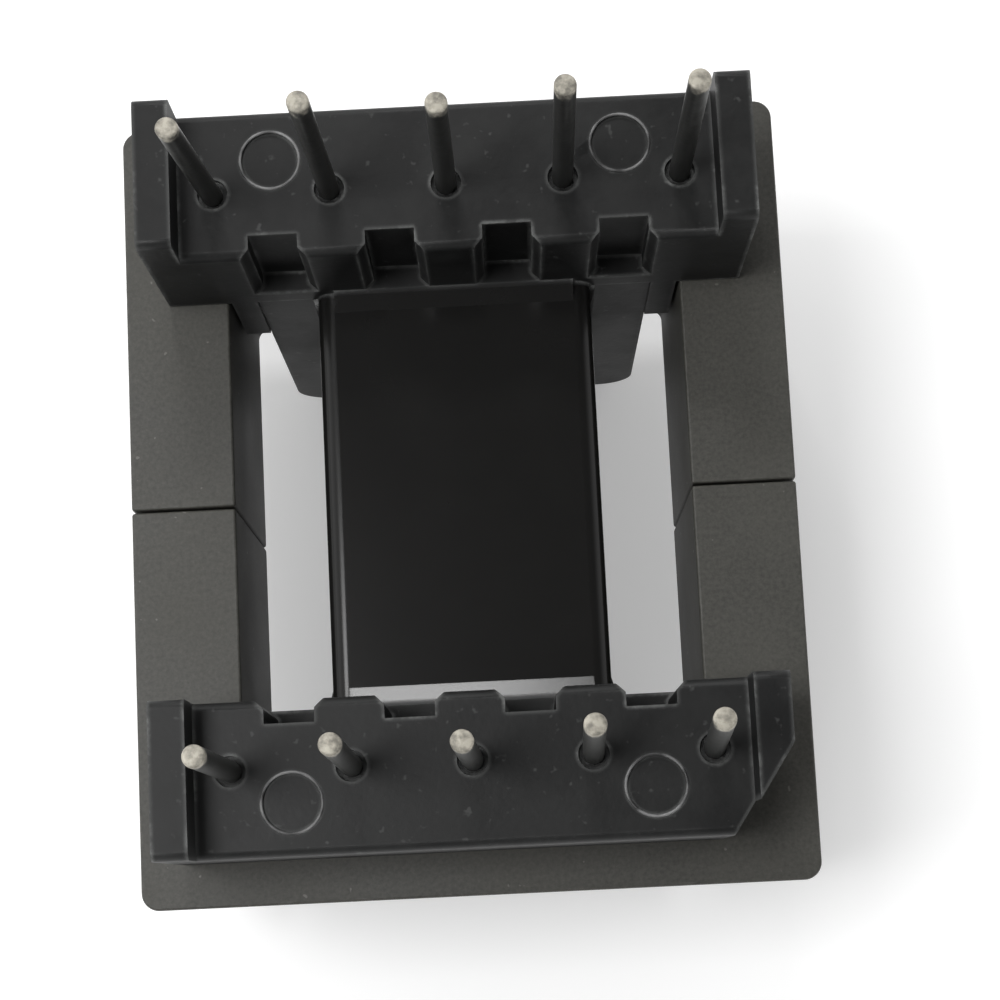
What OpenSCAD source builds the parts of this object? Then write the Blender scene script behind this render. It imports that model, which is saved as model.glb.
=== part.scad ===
// Ferrite EE core pair on a ten-pin horizontal coil former, lying on its back with the pins up.
// X runs along the rows of pins, Y along the winding tube, Z up. All sizes are in millimetres.
// The origin is under the middle of the part, on the surface that it rests on.

/* [Core] */
// Width of the core over its two outer legs
core_w = 30; // [29:0.1:33]
// Length of one core half, from the back of its yoke to its mating faces
half_len = 17.9; // [16:0.1:22]
// Thickness of the core
core_t = 10.7; // [8:0.1:13]
// Width of the centre leg
centre_leg_w = 10.7; // [9:0.1:11.4]
// Width of each outer leg
outer_leg_w = 4.7; // [4:0.05:5.2]
// Thickness of the yoke that joins the legs
yoke_t = 6.6; // [5:0.1:7.5]
// Radius of the four outer corners
corner_r = 0.8; // [0.2:0.1:2]
// Radius of the inner corners, where a leg meets the yoke
root_r = 0.5; // [0.1:0.1:1]
// Gap between the two halves at the mating faces
seam_gap = 0.1; // [0.02:0.01:0.5]

/* [Winding tube and flanges] */
// Wall of the tube round the centre leg
tube_wall = 0.7; // [0.5:0.05:1]
// Clearance between the centre leg and the bore of the tube
leg_fit = 0.15; // [0.05:0.05:0.3]
// Radius of the tube's outer corners
tube_r = 0.8; // [0.3:0.1:1.5]
// How far the flanges stand out at the sides of the tube
flange_side = 2.8; // [2:0.05:3]
// How far the flanges reach out behind the tube
flange_back = 6.5; // [5:0.1:8]
// Thickness of a flange
flange_t = 1.4; // [0.8:0.05:1.6]
// Radius of a flange's free corners
flange_r = 1.8; // [0.5:0.1:2.2]
// Gap between a flange and the yoke behind it
flange_play = 0.3; // [0.1:0.05:0.6]
// Length of the ramps that lead from the tube to a flange
ramp_len = 0.9; // [0.3:0.1:1.5]
// Rise of the front ramp, and of the slot floors, above the tube's front face
ramp_h = 0.35; // [0.1:0.05:0.8]
// Rise of the ramps on the sides of the tube
side_ramp_h = 0.25; // [0.1:0.05:0.5]

/* [Pin rails] */
// Width of a rail, across its row of pins
rail_w = 6.5; // [6:0.1:7]
// Height of a rail's face above the front of the core
rail_h = 6.2; // [5.5:0.1:8]
// Gap between the underside of a rail and the core
rail_gap = 0.1; // [0.02:0.01:0.3]
// Radius of a rail's long edges
rail_r = 0.35; // [0.1:0.05:0.6]
// Width of the raised foot at each end of a rail
foot_w = 1.5; // [1:0.1:2]
// Height of a foot above the face of its rail
foot_h = 2; // [1:0.1:3]
// Distance from the axis of an end pin to the foot beside it
end_margin = 1.5; // [1.3:0.1:1.8]
// Size along X of the cut corner that marks the first pin
cut_x = 2.4; // [1:0.1:2.6]
// Size along Y of that cut corner
cut_y = 3.6; // [1:0.1:4]
// Width of a wire slot
slot_w = 2.1; // [1:0.1:2.6]
// Depth of a wire slot, from the inner side of its rail
slot_d = 1; // [0.8:0.05:1.3]
// Width of the chamfer round the mouth of a wire slot
slot_lead = 0.4; // [0.1:0.05:0.5]
// How far a rail and its lugs stand proud of the flange under them
rail_step = 0.15; // [0.1:0.05:0.4]
// Depth of the lugs that locate the rails between the outer legs
lug_depth = 4.8; // [2:0.1:6]
// Clearance between a lug and the outer leg beside it
lug_fit = 0.15; // [0.05:0.05:0.3]
// Diameter of the sunk ejector marks
mark_d = 2.5; // [1.5:0.1:2.8]
// Depth of the ejector marks
mark_depth = 0.12; // [0.05:0.01:0.3]
// Distance of the marks outside the row of pins
mark_out = 1.4; // [1:0.1:1.7]

/* [Pins] */
// Spacing of the pins in a row
pin_pitch = 5; // [4.8:0.02:5.2]
// Distance from the inner side of a rail to its row of pins
pin_inset = 2.9; // [2.6:0.1:3.2]
// Diameter of a tinned pin
pin_d = 0.9; // [0.6:0.05:1]
// Side of the squared root that keeps a pin from turning
root_w = 0.6; // [0.4:0.02:0.7]
// Height of a pin above the face of its rail
pin_above = 8.2; // [4:0.1:10]
// Depth of a pin's root in its rail
pin_seat = 4.6; // [3:0.1:5]
// Radius of the rounded edge at a pin's tip
tip_r = 0.25; // [0.1:0.05:0.28]
// Clearance round the root of a pin
pin_fit = 0.01; // [0.01:0.01:0.05]
// Width of the sunk ring round the foot of a pin
ring_w = 0.2; // [0.1:0.05:0.4]
// Depth of that sunk ring
ring_depth = 0.25; // [0.1:0.05:0.5]

/* [Hidden] */
$fn = 48;
eps = 0.01;

// Tube: bore and outside, across X and across Z
bore_x = centre_leg_w + 2 * leg_fit;
bore_z = core_t + 2 * leg_fit;
tube_x = bore_x + 2 * tube_wall;
tube_z = bore_z + 2 * tube_wall;

// Heights: the part rests on the rear edges of its flanges
axis_z = tube_z / 2 + flange_back;
core_back = axis_z - core_t / 2;
core_front = axis_z + core_t / 2;
tube_front = axis_z + tube_z / 2;
rail_bottom = core_front + rail_gap;
rail_top = core_front + rail_h;
slot_floor = tube_front + ramp_h;

// Windows of the core and the winding space that the flanges leave in them
window_x = core_w / 2 - outer_leg_w;
window_y = half_len - yoke_t;
winding_y = window_y - flange_play - flange_t;
flange_x = tube_x / 2 + flange_side;
lug_x = window_x - lug_fit;

// Rails and pins
rail_y = winding_y - rail_step;
pin_y = rail_y + pin_inset;
foot_x = 2 * pin_pitch + end_margin;
rail_x = foot_x + foot_w;
pin_r = pin_d / 2;
ring_r = pin_r + ring_w;

// Rectangle about the origin with its corners rounded
module rounded_rect(w, l, r) {
    square([w - 2 * r, l], center = true);
    square([w, l - 2 * r], center = true);
    for (sx = [-1, 1], sy = [-1, 1])
        translate([sx * (w / 2 - r), sy * (l / 2 - r)]) circle(r);
}

// Bar section that stands on Y from 0 to w, with its two top edges rounded
module bar_section(w, h, r) {
    square([w, h - r]);
    translate([r, 0]) square([w - 2 * r, h]);
    for (y = [r, w - r])
        translate([y, h - r]) circle(r);
}

// Extrudes an outline drawn in Y and Z along X, from x0 to x1
module along_x(x0, x1) {
    translate([x0, 0, 0])
        rotate([90, 0, 90])
            linear_extrude(x1 - x0) children();
}

// Extrudes an outline drawn in X and Z along Y, from y0 to y1
module along_y(y0, y1) {
    translate([0, y1, 0])
        rotate([90, 0, 0])
            linear_extrude(y1 - y0) children();
}

// Both ends of the part: the second is the first turned half round
module both_ends() {
    for (a = [0, 180])
        rotate([0, 0, a]) children();
}

// Outline of the closed core: a frame with a centre leg
module core_outline() {
    window_w = window_x - centre_leg_w / 2;
    difference() {
        rounded_rect(core_w, 2 * half_len, corner_r);
        for (side = [-1, 1])
            translate([side * (centre_leg_w + window_w) / 2, 0])
                rounded_rect(window_w, 2 * window_y, root_r);
    }
}

// One E-shaped half, on the side of the seam that side gives
module core_half(side) {
    translate([0, 0, core_back])
        linear_extrude(core_t)
            intersection() {
                core_outline();
                translate([0, side * (half_len + seam_gap) / 2])
                    square([core_w, half_len], center = true);
            }
}

module core_half_front() {
    color([0.27, 0.27, 0.24]) core_half(-1);
}

module core_half_rear() {
    color([0.27, 0.27, 0.24]) core_half(1);
}

// Square tube round the centre leg, still without its bore
module tube_body() {
    along_y(-winding_y - flange_t, winding_y + flange_t)
        translate([0, axis_z]) rounded_rect(tube_x, tube_z, tube_r);
}

// Flange at the rear end, from the edge that the part rests on up to the slot floor
module flange_plate() {
    along_y(winding_y, winding_y + flange_t)
        translate([0, slot_floor / 2]) {
            rounded_rect(2 * flange_x, slot_floor, flange_r);
            translate([-flange_x, 0]) square([2 * flange_x, slot_floor / 2]);
        }
}

// Outline of a ramp that rises by h along Y and is level under its rail
module ramp_outline(h) {
    polygon([
        [rail_y - ramp_len, -eps],
        [rail_y - ramp_len, 0],
        [rail_y, h],
        [winding_y + eps, h],
        [winding_y + eps, -eps]
    ]);
}

// Ramps from the tube to the flange: one leads a wire up to the slots, two stiffen the sides
module ramps() {
    ramp_x = tube_x / 2 - tube_r;
    translate([0, 0, tube_front])
        along_x(-ramp_x, ramp_x) ramp_outline(ramp_h);
    for (side = [-1, 1])
        translate([side * tube_x / 2, 0, axis_z])
            rotate([0, side * 90, 0])
                along_x(tube_r - tube_z / 2, tube_z / 2 - tube_r) ramp_outline(side_ramp_h);
}

// Rail over the yoke, with a raised foot at each end
module rail_body() {
    along_x(-rail_x, rail_x)
        translate([rail_y, rail_bottom])
            bar_section(rail_w, rail_top - rail_bottom, rail_r);
    for (x0 = [-rail_x, foot_x])
        along_x(x0, x0 + foot_w)
            translate([rail_y, rail_bottom])
                bar_section(rail_w, rail_top + foot_h - rail_bottom, rail_r);
}

// Lugs that drop between the outer legs, one on each side of the flange, clear of the inner corners
module lugs() {
    lug_w = lug_x - flange_x + eps;
    for (side = [-1, 1])
        along_y(rail_y, window_y - root_r)
            translate([side * (lug_x - lug_w / 2), core_front + (rail_gap + rail_r - lug_depth) / 2])
                square([lug_w, lug_depth + rail_gap + rail_r], center = true);
}

// Outline of a wire slot, with its mouth at Y = 0 opened up by a chamfer
module slot_outline() {
    translate([-slot_w / 2, -eps]) square([slot_w, slot_d + eps]);
    polygon([
        [-slot_w / 2 - slot_lead - eps, -eps],
        [slot_w / 2 + slot_lead + eps, -eps],
        [slot_w / 2, slot_lead],
        [-slot_w / 2, slot_lead]
    ]);
}

// Wire slots between the pins, open towards the winding space and down to the slot floor
module slots() {
    for (i = [-1.5:1.5])
        translate([i * pin_pitch, rail_y, slot_floor])
            linear_extrude(rail_top + foot_h) slot_outline();
}

// Sunk ejector marks, between the two outer pins at each end of a rail
module ejector_marks() {
    for (side = [-1, 1])
        translate([side * 1.5 * pin_pitch, pin_y + mark_out, rail_top - mark_depth])
            cylinder(h = mark_depth + eps, d = mark_d);
}

// Blind square holes for the roots of the pins, each with its sunk ring
module pin_holes() {
    for (i = [-2:2])
        translate([i * pin_pitch, pin_y, rail_top]) {
            translate([0, 0, -pin_seat - pin_fit])
                linear_extrude(pin_seat) square(root_w + 2 * pin_fit, center = true);
            translate([0, 0, -ring_depth])
                cylinder(h = ring_depth + eps, r = ring_r);
        }
}

// Relief at the end of the bore, clear of the rounded roots of the centre leg
module root_relief() {
    along_y(window_y - root_r, window_y)
        translate([0, axis_z]) square([bore_x + 2 * root_r, bore_z], center = true);
}

// Triangle that leaves the cut corner at the first pin
module cut_corner() {
    translate([rail_x, -rail_y - rail_w, rail_bottom - eps])
        linear_extrude(rail_top + foot_h)
            polygon([[eps, -eps], [-cut_x, -eps], [eps, cut_y]]);
}

module bobbin() {
    color([0.13, 0.13, 0.14])
        difference() {
            union() {
                tube_body();
                both_ends() {
                    flange_plate();
                    ramps();
                    rail_body();
                    lugs();
                }
            }
            along_y(-half_len, half_len)
                translate([0, axis_z]) square([bore_x, bore_z], center = true);
            both_ends() {
                root_relief();
                slots();
                ejector_marks();
                pin_holes();
            }
            cut_corner();
        }
}

// Side of the round length of a pin, up from Y = 0 to its rounded tip
module pin_profile() {
    tip_flat = pin_r - tip_r;
    square([pin_r, pin_above - tip_r]);
    square([tip_flat, pin_above]);
    intersection() {
        translate([tip_flat, pin_above - tip_r]) circle(tip_r);
        translate([0, pin_above - tip_r]) square([pin_r, tip_r]);
    }
}

// Pins 1 to 5 stand in the front row, from the cut corner on, and 6 to 10 come back in the rear row
module pin(number) {
    front = number <= 5;
    x = (front ? 3 - number : number - 8) * pin_pitch;
    color([0.78, 0.76, 0.7])
        translate([x, front ? -pin_y : pin_y, rail_top]) {
            rotate_extrude() pin_profile();
            translate([0, 0, -pin_seat])
                linear_extrude(pin_seat + eps) square(root_w, center = true);
        }
}

core_half_front();
core_half_rear();
bobbin();
for (number = [1:10])
    pin(number);
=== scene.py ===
# %% [markdown]
# # A ferrite E core pair on a ten-pin coil former
# The part is a small transformer kit before winding: two E-shaped ferrite halves closed round a black moulded
# former with two rows of tinned pins. The solids come from the CAD frame at their real size. This file gives
# them soft edges, finishes, light and a camera, one step in each cell.

# %% Load the frame
import math

import bmesh
import bpy
from mathutils import Matrix, Vector


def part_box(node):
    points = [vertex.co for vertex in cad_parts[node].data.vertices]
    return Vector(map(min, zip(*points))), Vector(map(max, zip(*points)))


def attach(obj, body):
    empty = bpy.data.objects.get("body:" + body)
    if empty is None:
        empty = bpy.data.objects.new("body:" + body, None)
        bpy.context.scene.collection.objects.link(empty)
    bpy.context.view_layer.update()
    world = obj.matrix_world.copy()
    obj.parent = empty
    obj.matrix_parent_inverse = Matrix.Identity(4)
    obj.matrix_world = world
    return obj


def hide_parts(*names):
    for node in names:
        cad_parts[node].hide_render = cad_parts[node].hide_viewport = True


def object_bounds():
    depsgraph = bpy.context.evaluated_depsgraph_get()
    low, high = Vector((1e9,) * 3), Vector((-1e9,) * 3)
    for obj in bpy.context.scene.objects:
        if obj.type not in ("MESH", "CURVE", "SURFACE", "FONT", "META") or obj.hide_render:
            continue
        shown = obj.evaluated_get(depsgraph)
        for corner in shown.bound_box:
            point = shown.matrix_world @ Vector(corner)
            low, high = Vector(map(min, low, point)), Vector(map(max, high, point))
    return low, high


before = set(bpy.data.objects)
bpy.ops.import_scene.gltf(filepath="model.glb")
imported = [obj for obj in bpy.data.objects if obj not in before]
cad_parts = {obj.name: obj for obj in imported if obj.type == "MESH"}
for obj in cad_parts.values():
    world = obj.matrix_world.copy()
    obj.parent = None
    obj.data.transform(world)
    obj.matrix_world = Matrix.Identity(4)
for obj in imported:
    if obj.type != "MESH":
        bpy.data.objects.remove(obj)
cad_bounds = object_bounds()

MM = 0.001
print("nodes:", sorted(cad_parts))

# %% [markdown]
# ## Places
# Every place comes from the boxes of the CAD nodes, so the looks follow the frame if a size changes. The core's
# front face is the plane that the rails stand over, and the rails' own face lies 24.25 mm over the former's back.

# %% Measure the frame
core_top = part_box("core_half_front")[1].z
rail_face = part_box("bobbin")[0].z + 24.25 * MM
pin_boxes = {n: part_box(n) for n in sorted(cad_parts) if n.startswith("pin_")}
pin_top = max(hi.z for lo, hi in pin_boxes.values())
print(f"core front at {core_top / MM:.2f} mm, pin tips at {pin_top / MM:.2f} mm")

# %% [markdown]
# ## Shader maths
# A pattern is easier to read as an expression than as a web of nodes. One class wraps a socket, and its operators
# add the Math nodes. A second class holds a material's tree and makes every other kind of node by one method.

# %% Wrap a socket
class Wire:
    """A socket that can be added, taken away and multiplied as a number is."""

    def __init__(self, paint, socket):
        self.paint, self.socket = paint, socket

    def _math(self, operation, first, second):
        return self.paint.node("ShaderNodeMath", {"operation": operation}, {0: first, 1: second})

    def __add__(self, other):
        return self._math("ADD", self, other)

    def __sub__(self, other):
        return self._math("SUBTRACT", self, other)

    def __rsub__(self, other):
        return self._math("SUBTRACT", other, self)

    def __mul__(self, other):
        return self._math("MULTIPLY", self, other)

    def clamped(self):
        """The same value, held between 0 and 1."""
        return self.paint.node("ShaderNodeClamp", {}, {"Value": self})

    __radd__, __rmul__ = __add__, __mul__


# %% Wrap a material
class Paint:
    """A new material's node tree, with a Principled shader to feed."""

    def __init__(self, name):
        self.material = bpy.data.materials.new(name)
        self.material.use_nodes = True
        self.tree = self.material.node_tree
        self.shader = self.tree.nodes["Principled BSDF"]

    def node(self, kind, settings, values, output=0):
        """Adds a node, sets it up, fills its sockets with numbers or wires, and returns one output."""
        made = self.tree.nodes.new(kind)
        for name, value in settings.items():
            setattr(made, name, value)
        for key, value in values.items():
            self.feed(made.inputs[key], value)
        return Wire(self, made.outputs[output])

    def feed(self, socket, value):
        if isinstance(value, Wire):
            self.tree.links.new(value.socket, socket)
        else:
            socket.default_value = value

    def place(self):
        """Object coordinates, which stay with the piece."""
        return self.node("ShaderNodeTexCoord", {}, {}, "Object")

    def along(self, axis):
        """Object coordinate along "X", "Y" or "Z", in millimetres."""
        return self.node("ShaderNodeSeparateXYZ", {}, {"Vector": self.place()}, axis) * (1 / MM)

    def noise(self, scale, detail=2.0, roughness=0.5):
        """Cloudy noise; scale counts its lumps along one metre."""
        values = {"Vector": self.place(), "Scale": scale, "Detail": detail, "Roughness": roughness}
        return self.node("ShaderNodeTexNoise", {}, values, "Fac")

    def ramp(self, value, low, high):
        """0 below low, 1 above high, and a straight climb between."""
        return self.node("ShaderNodeMapRange", {}, {"Value": value, "From Min": low, "From Max": high})

    def blend(self, amount, first, second):
        """One colour turning to another as amount climbs from 0 to 1."""
        settings = {"data_type": "RGBA"}
        return self.node("ShaderNodeMix", settings, {0: amount, 6: first, 7: second}, 2)

    def bump(self, height, distance, strength=1.0):
        """Normals for a surface that rises by distance where height is 1."""
        values = {"Height": height, "Distance": distance, "Strength": strength}
        self.feed(self.shader.inputs["Normal"], self.node("ShaderNodeBump", {}, values))

    def finish(self, **sockets):
        """Feeds the shader: base_color=... goes to Base Color, and so on."""
        for name, value in sockets.items():
            self.feed(self.shader.inputs[name.replace("_", " ").title()], value)
        print(f"{self.material.name}: {len(self.tree.nodes)} nodes")
        return self.material


def grey(level):
    """A linear grey."""
    return (level, level, level, 1.0)


# %% [markdown]
# ## Ferrite
# Ferrite is pressed from powder and fired, so it is a dull, dark, slightly olive grey with a fine grain, faint
# clouds from the firing and a few pale specks where the skin has come off. Three noises at three sizes make that:
# clouds of several millimetres, grain far below one, and a high threshold on a middle size for the specks. The
# ground edges come out a little paler, broken up by noise: partly chips, since the edges of a core chip easily,
# and partly a painted highlight where the edges catch the light.

# %% Find the edges
def edge_mask(paint, radius):
    """1 close to a sharp edge and 0 on flat ground, from how far a rounded normal leaves the true one."""
    rounded = paint.node("ShaderNodeBevel", {"samples": 6}, {"Radius": radius})
    true = paint.node("ShaderNodeNewGeometry", {}, {}, "Normal")
    likeness = paint.node("ShaderNodeVectorMath", {"operation": "DOT_PRODUCT"}, {0: rounded, 1: true}, "Value")
    return paint.ramp(likeness, 0.997, 0.93)


# %% Make the ferrite
def ferrite():
    paint = Paint("sintered_ferrite")
    clouds = paint.ramp(paint.noise(160.0, 3.0, 0.6), 0.3, 0.7)
    grain = paint.noise(5200.0, 2.0, 0.7)
    specks = paint.ramp(paint.noise(2300.0, 1.0), 0.775, 0.8)
    # Paler edges: partly chips, partly a painted highlight where the edges catch the light.
    chips_and_edge_highlight = edge_mask(paint, 0.2 * MM) * paint.ramp(paint.noise(900.0, 3.0, 0.7), 0.5, 0.65)
    body = paint.blend(clouds, (0.025, 0.0245, 0.0205, 1.0), (0.039, 0.038, 0.032, 1.0))
    fine = paint.blend(paint.ramp(grain, 0.3, 0.75) * 0.6, body, (0.07, 0.068, 0.058, 1.0))
    colour = paint.blend((specks * 0.5 + chips_and_edge_highlight * 0.5).clamped(), fine, (0.15, 0.145, 0.13, 1.0))
    paint.bump(grain * 0.7 + clouds * 0.5, 0.02 * MM, 0.4)
    return paint.finish(base_color=colour, roughness=0.52 + clouds * 0.1 - specks * 0.15)


ferrite_paint = ferrite()

# %% [markdown]
# ## Black phenolic
# The former is moulded in filled phenolic. The thin walls of the tube and flanges come out of the mould smooth
# and nearly black, with a soft shine. The thick rails above them are duller, with a cloudy grey bloom, and their
# edges are painted pale: partly rubbed by handling, partly a painted highlight where the rounded edges catch the
# light. The distance from the middle tells the two apart, and the edge mask, broken up by noise, gives the pale
# edges without a mask painted by hand.

# %% Make the phenolic
RAIL_Y = 9.45  # where a rail starts, in millimetres from the middle


def phenolic():
    paint = Paint("black_phenolic")
    out = paint.along("Y")
    rail = paint.ramp(out * out, (RAIL_Y - 0.25) ** 2, RAIL_Y ** 2)
    bloom = paint.ramp(paint.noise(210.0, 5.0, 0.65), 0.4, 0.7)
    grain = paint.noise(3600.0, 2.0, 0.6)
    dust = paint.ramp(paint.noise(1900.0, 2.0, 0.6), 0.66, 0.74) * rail
    scuffs = paint.ramp(paint.noise(480.0, 4.0, 0.75), 0.5, 0.64)
    # Paler rail edges: partly rubbed by handling, partly a painted highlight where the rounded edges catch the
    # light.
    rubbed_and_highlit_edge = edge_mask(paint, 0.3 * MM) * (0.35 + scuffs * 0.65)
    smooth = paint.blend(bloom * 0.5, (0.0070, 0.0068, 0.0065, 1.0), (0.0095, 0.0092, 0.0088, 1.0))
    dull = paint.blend(bloom, (0.0040, 0.0042, 0.0043, 1.0), (0.0125, 0.0129, 0.0127, 1.0))
    body = paint.blend(rail, smooth, dull)
    pale = (rubbed_and_highlit_edge * rail * 0.62 + dust * 0.14).clamped()
    colour = paint.blend(pale, body, (0.21, 0.215, 0.21, 1.0))
    paint.bump(grain * (0.15 + rail * 0.85) + bloom * rail * 0.8, 0.02 * MM, 0.35)
    paint.shader.inputs["Specular IOR Level"].default_value = 0.28
    return paint.finish(base_color=colour, roughness=0.2 + rail * 0.26 + bloom * rail * 0.12 + rubbed_and_highlit_edge * 0.1)


phenolic_paint = phenolic()

# %% [markdown]
# ## Tinned wire
# The pins are copper wire dipped in tin. A metal takes nearly all of its look from what it mirrors; the shaft
# also gets a low colour, a painted shade for the dark rail and shadow round it, and the cut end is a paler,
# rougher, less metallic cap above a soft line, a painted highlight where the tip faces the light from above.

# %% Make the tin
def tin():
    paint = Paint("tinned_wire")
    film = paint.noise(2600.0, 3.0, 0.6)
    # The dark shaft colour is a painted shade for the dark rail it mirrors; the pale tip colour is a painted
    # highlight.
    tip_end = paint.ramp(paint.along("Z") + film * 0.8, pin_top / MM - 0.1, pin_top / MM + 0.25)
    shaft_painted_shade = paint.blend(film, (0.05, 0.051, 0.05, 1.0), (0.12, 0.121, 0.116, 1.0))
    tip_painted_highlight = paint.blend(paint.ramp(film, 0.35, 0.6), (0.17, 0.16, 0.135, 1.0), (0.42, 0.395, 0.335, 1.0))
    colour = paint.blend(tip_end, shaft_painted_shade, tip_painted_highlight)
    paint.bump(film, 0.03 * MM, 0.5)
    return paint.finish(base_color=colour, metallic=0.85 - tip_end * 0.45, roughness=0.34 + film * 0.12 + tip_end * 0.15)


tin_paint = tin()

# %% [markdown]
# ## Softened copies
# The former is one moulding with slots, lugs, holes and ramps, and the frame already has it exactly. Modelling it
# again would only risk its fit, so a copy of the frame's mesh is welded, its flat triangles are joined, and each
# sharp edge gets a small bevel, because a real moulding never has a perfect edge and the bevel is what catches
# the light. The core halves are ground and fired, and get the same treatment with a wider bevel.

# %% Finish a piece
def piece(shape, name, paint, slot, *nodes):
    """Turns a finished bmesh into a piece that rides on the frame and stands for CAD nodes."""
    mesh = bpy.data.meshes.new(name)
    shape.to_mesh(mesh)
    shape.free()
    mesh.materials.clear()
    mesh.materials.append(paint)
    made = bpy.data.objects.new(name, mesh)
    bpy.context.scene.collection.objects.link(made)
    mesh.shade_smooth()
    made.modifiers.new("flat_faces_stay_flat", "WEIGHTED_NORMAL").keep_sharp = True
    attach(made, "root")
    if nodes:
        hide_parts(*nodes)
    print(f"{name}: {len(mesh.polygons)} faces")
    return made


# %% Soften a copy of a node
def softened(node, name, width, paint, slot):
    """A copy of a CAD node with its sharp edges bevelled, which stands for the node."""
    shape = bmesh.new()
    shape.from_mesh(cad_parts[node].data)
    bmesh.ops.remove_doubles(shape, verts=shape.verts, dist=0.001 * MM)
    bmesh.ops.dissolve_limit(shape, angle_limit=math.radians(1), verts=shape.verts, edges=shape.edges)
    sharp = [e for e in shape.edges if e.calc_face_angle(0) > math.radians(12)]
    bmesh.ops.bevel(
        shape, geom=sharp, offset=width, offset_type="OFFSET", affect="EDGES",
        segments=2, profile=0.5, material=-1, clamp_overlap=True,
    )
    return piece(shape, name, paint, slot, node)


# %% Soften the core halves and the former
softened("core_half_front", "ferrite_half_front", 0.12 * MM, ferrite_paint, "ferrite")
softened("core_half_rear", "ferrite_half_rear", 0.12 * MM, ferrite_paint, "ferrite")
softened("bobbin", "coil_former", 0.09 * MM, phenolic_paint, "phenolic")

# %% [markdown]
# ## Witness rings
# Where an ejector pushes the hot moulding out, a thin burr stands up round its mark. Its colour is a broken pale
# grey, a painted highlight for the light that catches it from every side. Each ring is a small circle spun once
# round the mark's axis, with the last step merged to the first, and then turned into one piece.

# %% Make the burr
def burr():
    paint = Paint("burr_painted_highlight")
    # The pale grey is a painted highlight, broken up by noise.
    broken_highlight = paint.ramp(paint.noise(700.0, 2.0), 0.4, 0.6)
    return paint.finish(base_color=paint.blend(broken_highlight, grey(0.03), grey(0.2)), roughness=0.45)


# %% Spin the rings
MARK_X, MARK_Y, MARK_RADIUS = 7.5 * MM, 13.75 * MM, 1.27 * MM
BURR = 0.06 * MM


def witness_rings():
    paint = burr()
    rings = bmesh.new()
    for x in (-MARK_X, MARK_X):
        for y in (-MARK_Y, MARK_Y):
            section = bmesh.ops.create_circle(rings, segments=8, radius=BURR)["verts"]
            bmesh.ops.rotate(rings, verts=section, matrix=Matrix.Rotation(math.radians(90), 3, "X"))
            bmesh.ops.translate(rings, verts=section, vec=(x + MARK_RADIUS, y, rail_face))
            edges = {e for v in section for e in v.link_edges}
            bmesh.ops.spin(
                rings, geom=[*section, *edges], cent=(x, y, rail_face), axis=(0, 0, 1),
                angle=math.tau, steps=40, use_merge=True,
            )
    bmesh.ops.recalc_face_normals(rings, faces=rings.faces)
    return piece(rings, "witness_rings", paint, "phenolic")


witness_rings()

# %% [markdown]
# ## Pins
# A pin is a length of round wire with a cut end. It starts as a circle, is drawn up in one extrusion and its end
# is bevelled. The pins are pressed in by hand and none stands quite straight, so each one leans by a few tenths
# of a millimetre at its tip, which is a shear of its mesh about its foot. The root stays hidden in the rail.

# %% Lean of each pin
LEAN = {  # how far each tip stands off its foot, along X and Y in millimetres
    "pin_1": (-0.41, 0.50), "pin_2": (-0.21, 0.53), "pin_3": (-0.18, 0.15), "pin_4": (-0.07, 0.28),
    "pin_5": (-0.14, 0.07), "pin_6": (-0.50, -0.33), "pin_7": (-0.40, 0.48), "pin_8": (-0.05, 0.15),
    "pin_9": (-0.03, 0.60), "pin_10": (0.18, 0.55),
}


# %% Draw a pin
SUNK = 0.6 * MM  # how deep the drawn wire goes into the rail


def wire_pin(name):
    lo, hi = pin_boxes[name]
    axis, radius = (lo + hi) / 2, (hi.x - lo.x) / 2
    foot = rail_face - SUNK
    height = hi.z - foot
    wire = bmesh.new()
    bmesh.ops.create_circle(wire, cap_ends=True, segments=28, radius=radius)
    drawn = bmesh.ops.extrude_face_region(wire, geom=wire.faces[:])["geom"]
    top = [v for v in drawn if isinstance(v, bmesh.types.BMVert)]
    bmesh.ops.translate(wire, verts=top, vec=(0, 0, height))
    rim = [e for e in wire.edges if all(v.co.z > height / 2 for v in e.verts)]
    bmesh.ops.bevel(
        wire, geom=rim, offset=0.09 * MM, offset_type="OFFSET", affect="EDGES",
        segments=3, profile=0.5, material=-1,
    )
    across, along = LEAN[name]
    shear = Matrix.Identity(3)
    shear[0][2], shear[1][2] = across * MM / height, along * MM / height
    bmesh.ops.transform(wire, matrix=shear.to_4x4(), verts=wire.verts)
    bmesh.ops.translate(wire, verts=wire.verts, vec=(axis.x, axis.y, foot))
    bmesh.ops.recalc_face_normals(wire, faces=wire.faces)
    return piece(wire, "tinned_" + name, tin_paint, "tinned_wire", name)


for name in pin_boxes:
    wire_pin(name)

# %% [markdown]
# ## Floor
# The part lies on white paper. The paper keeps a plain pale colour for the light that falls on the part, and a
# camera, mirror or glass ray finds a little glow added to it, so the background is white while the shadow of the
# part still shows.

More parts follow.
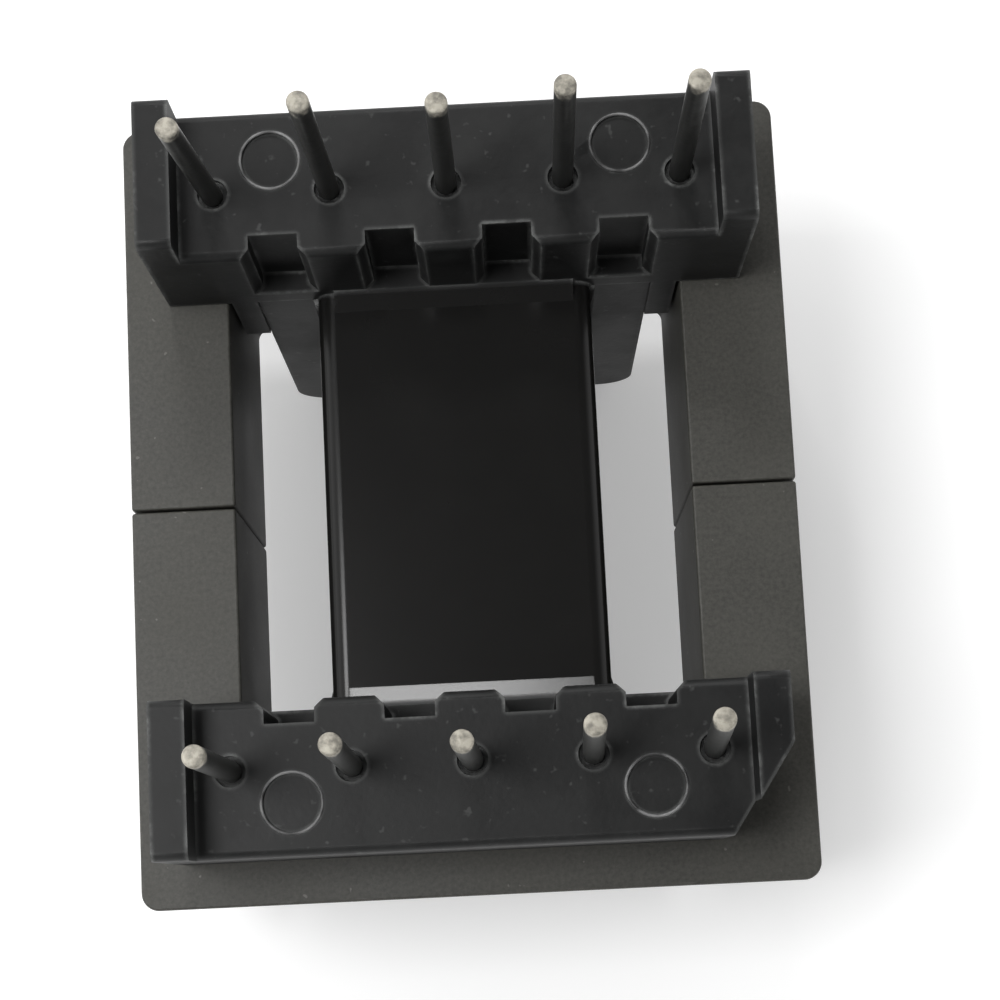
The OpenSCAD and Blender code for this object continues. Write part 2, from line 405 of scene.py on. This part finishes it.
# %% Lay the floor
def floor():
    sheet = bmesh.new()
    bmesh.ops.create_grid(sheet, x_segments=1, y_segments=1, size=900 * MM)
    mesh = bpy.data.meshes.new("paper_floor")
    sheet.to_mesh(mesh)
    sheet.free()
    made = bpy.data.objects.new("paper_floor", mesh)
    bpy.context.scene.collection.objects.link(made)
    paint = Paint("white_paper")
    seen = paint.node("ShaderNodeLightPath", {}, {}, "Is Camera Ray")
    mirrored = paint.node("ShaderNodeLightPath", {}, {}, "Is Glossy Ray")
    through = paint.node("ShaderNodeLightPath", {}, {}, "Is Transmission Ray")
    away = paint.node("ShaderNodeVectorMath", {"operation": "LENGTH"}, {0: paint.place()}, "Value")
    # The painted glow is weakest near the part and climbs from 2 to 8 cm away, so the floor is painted brighter
    # away from the part.
    white = paint.blend(paint.ramp(away, 0.02, 0.08), grey(FLOOR_GLOW), grey(0.9))
    glow = paint.blend((seen + mirrored + through).clamped(), grey(0.0), white)
    paint.shader.inputs["Emission Strength"].default_value = 1.0
    mesh.materials.append(paint.finish(base_color=grey(0.8), roughness=0.9, emission_color=glow))


FLOOR_GLOW = 0.3
floor()

# %% [markdown]
# ## Light
# Three soft lamps. The main one stands high at the left, so the light fades gently towards the right and no flat
# face mirrors it. A large, weak one lower at the left opens the shadows. The third is a small bright panel behind
# the part: only faces that tip back a little, such as the front ramp, mirror it, and so they shine while the flat
# faces stay dark.

# %% Hang the lamps
def lamp(name, place, target, width, height, level):
    """A rectangular lamp that gives the target the light level named, where 1 shows a colour as written."""
    way = Vector(target) - Vector(place)
    data = bpy.data.lights.new(name, "AREA")
    data.shape, data.size, data.size_y = "RECTANGLE", width, height
    data.energy = level * math.pi ** 2 * way.length_squared * way.length / abs(way.z)
    made = bpy.data.objects.new(name, data)
    made.location = place
    made.rotation_euler = way.to_track_quat("-Z", "Y").to_euler()
    bpy.context.scene.collection.objects.link(made)
    print(f"{name}: {data.energy:.3f} W")


middle = (cad_bounds[0] + cad_bounds[1]) / 2
lamp("left_main", (-0.085, -0.01, 0.22), middle, 0.08, 0.08, 0.5)
lamp("left_fill", (-0.16, 0.03, 0.16), middle, 0.22, 0.22, 0.16)
lamp("rear_panel", (-0.02, 0.178, 0.187), middle, 0.06, 0.03, 0.2)

# %% [markdown]
# ## Room
# The room is pale at the horizon and dim overhead. A low view then looks into a white room, while the faces that
# point up mirror only the dim ceiling and stay dark.

# %% Grade the room
class Room(Paint):
    """The world's tree, with its Background shader to feed."""

    def __init__(self, name):
        world = bpy.data.worlds.new(name)
        bpy.context.scene.world = world
        world.use_nodes = True
        self.tree = world.node_tree
        self.shader = self.tree.nodes["Background"]


room = Room("soft_room")
way = room.node("ShaderNodeTexCoord", {}, {}, "Generated")
height = room.node("ShaderNodeSeparateXYZ", {}, {"Vector": way}, "Z")
room.feed(room.shader.inputs["Color"], room.blend(room.ramp(height, 0.3, 0.7), grey(1.0), grey(0.16)))
print(f"soft_room: {len(room.tree.nodes)} nodes")

# %% [markdown]
# ## Camera
# The camera looks down on the pins from a little in front, close enough for the pins to splay outwards.

# %% Set the camera
data = bpy.data.cameras.new("camera")
data.lens = 69.98
data.shift_y = 0.15
data.clip_start = 0.005
camera = bpy.data.objects.new("camera", data)
camera.location = (1.83 * MM, -17.89 * MM, core_top + 86.08 * MM)
camera.rotation_euler = (0.1245, 0.0121, -0.0482)
bpy.context.scene.collection.objects.link(camera)
bpy.context.scene.camera = camera
bpy.context.scene.view_settings.view_transform = "Standard"
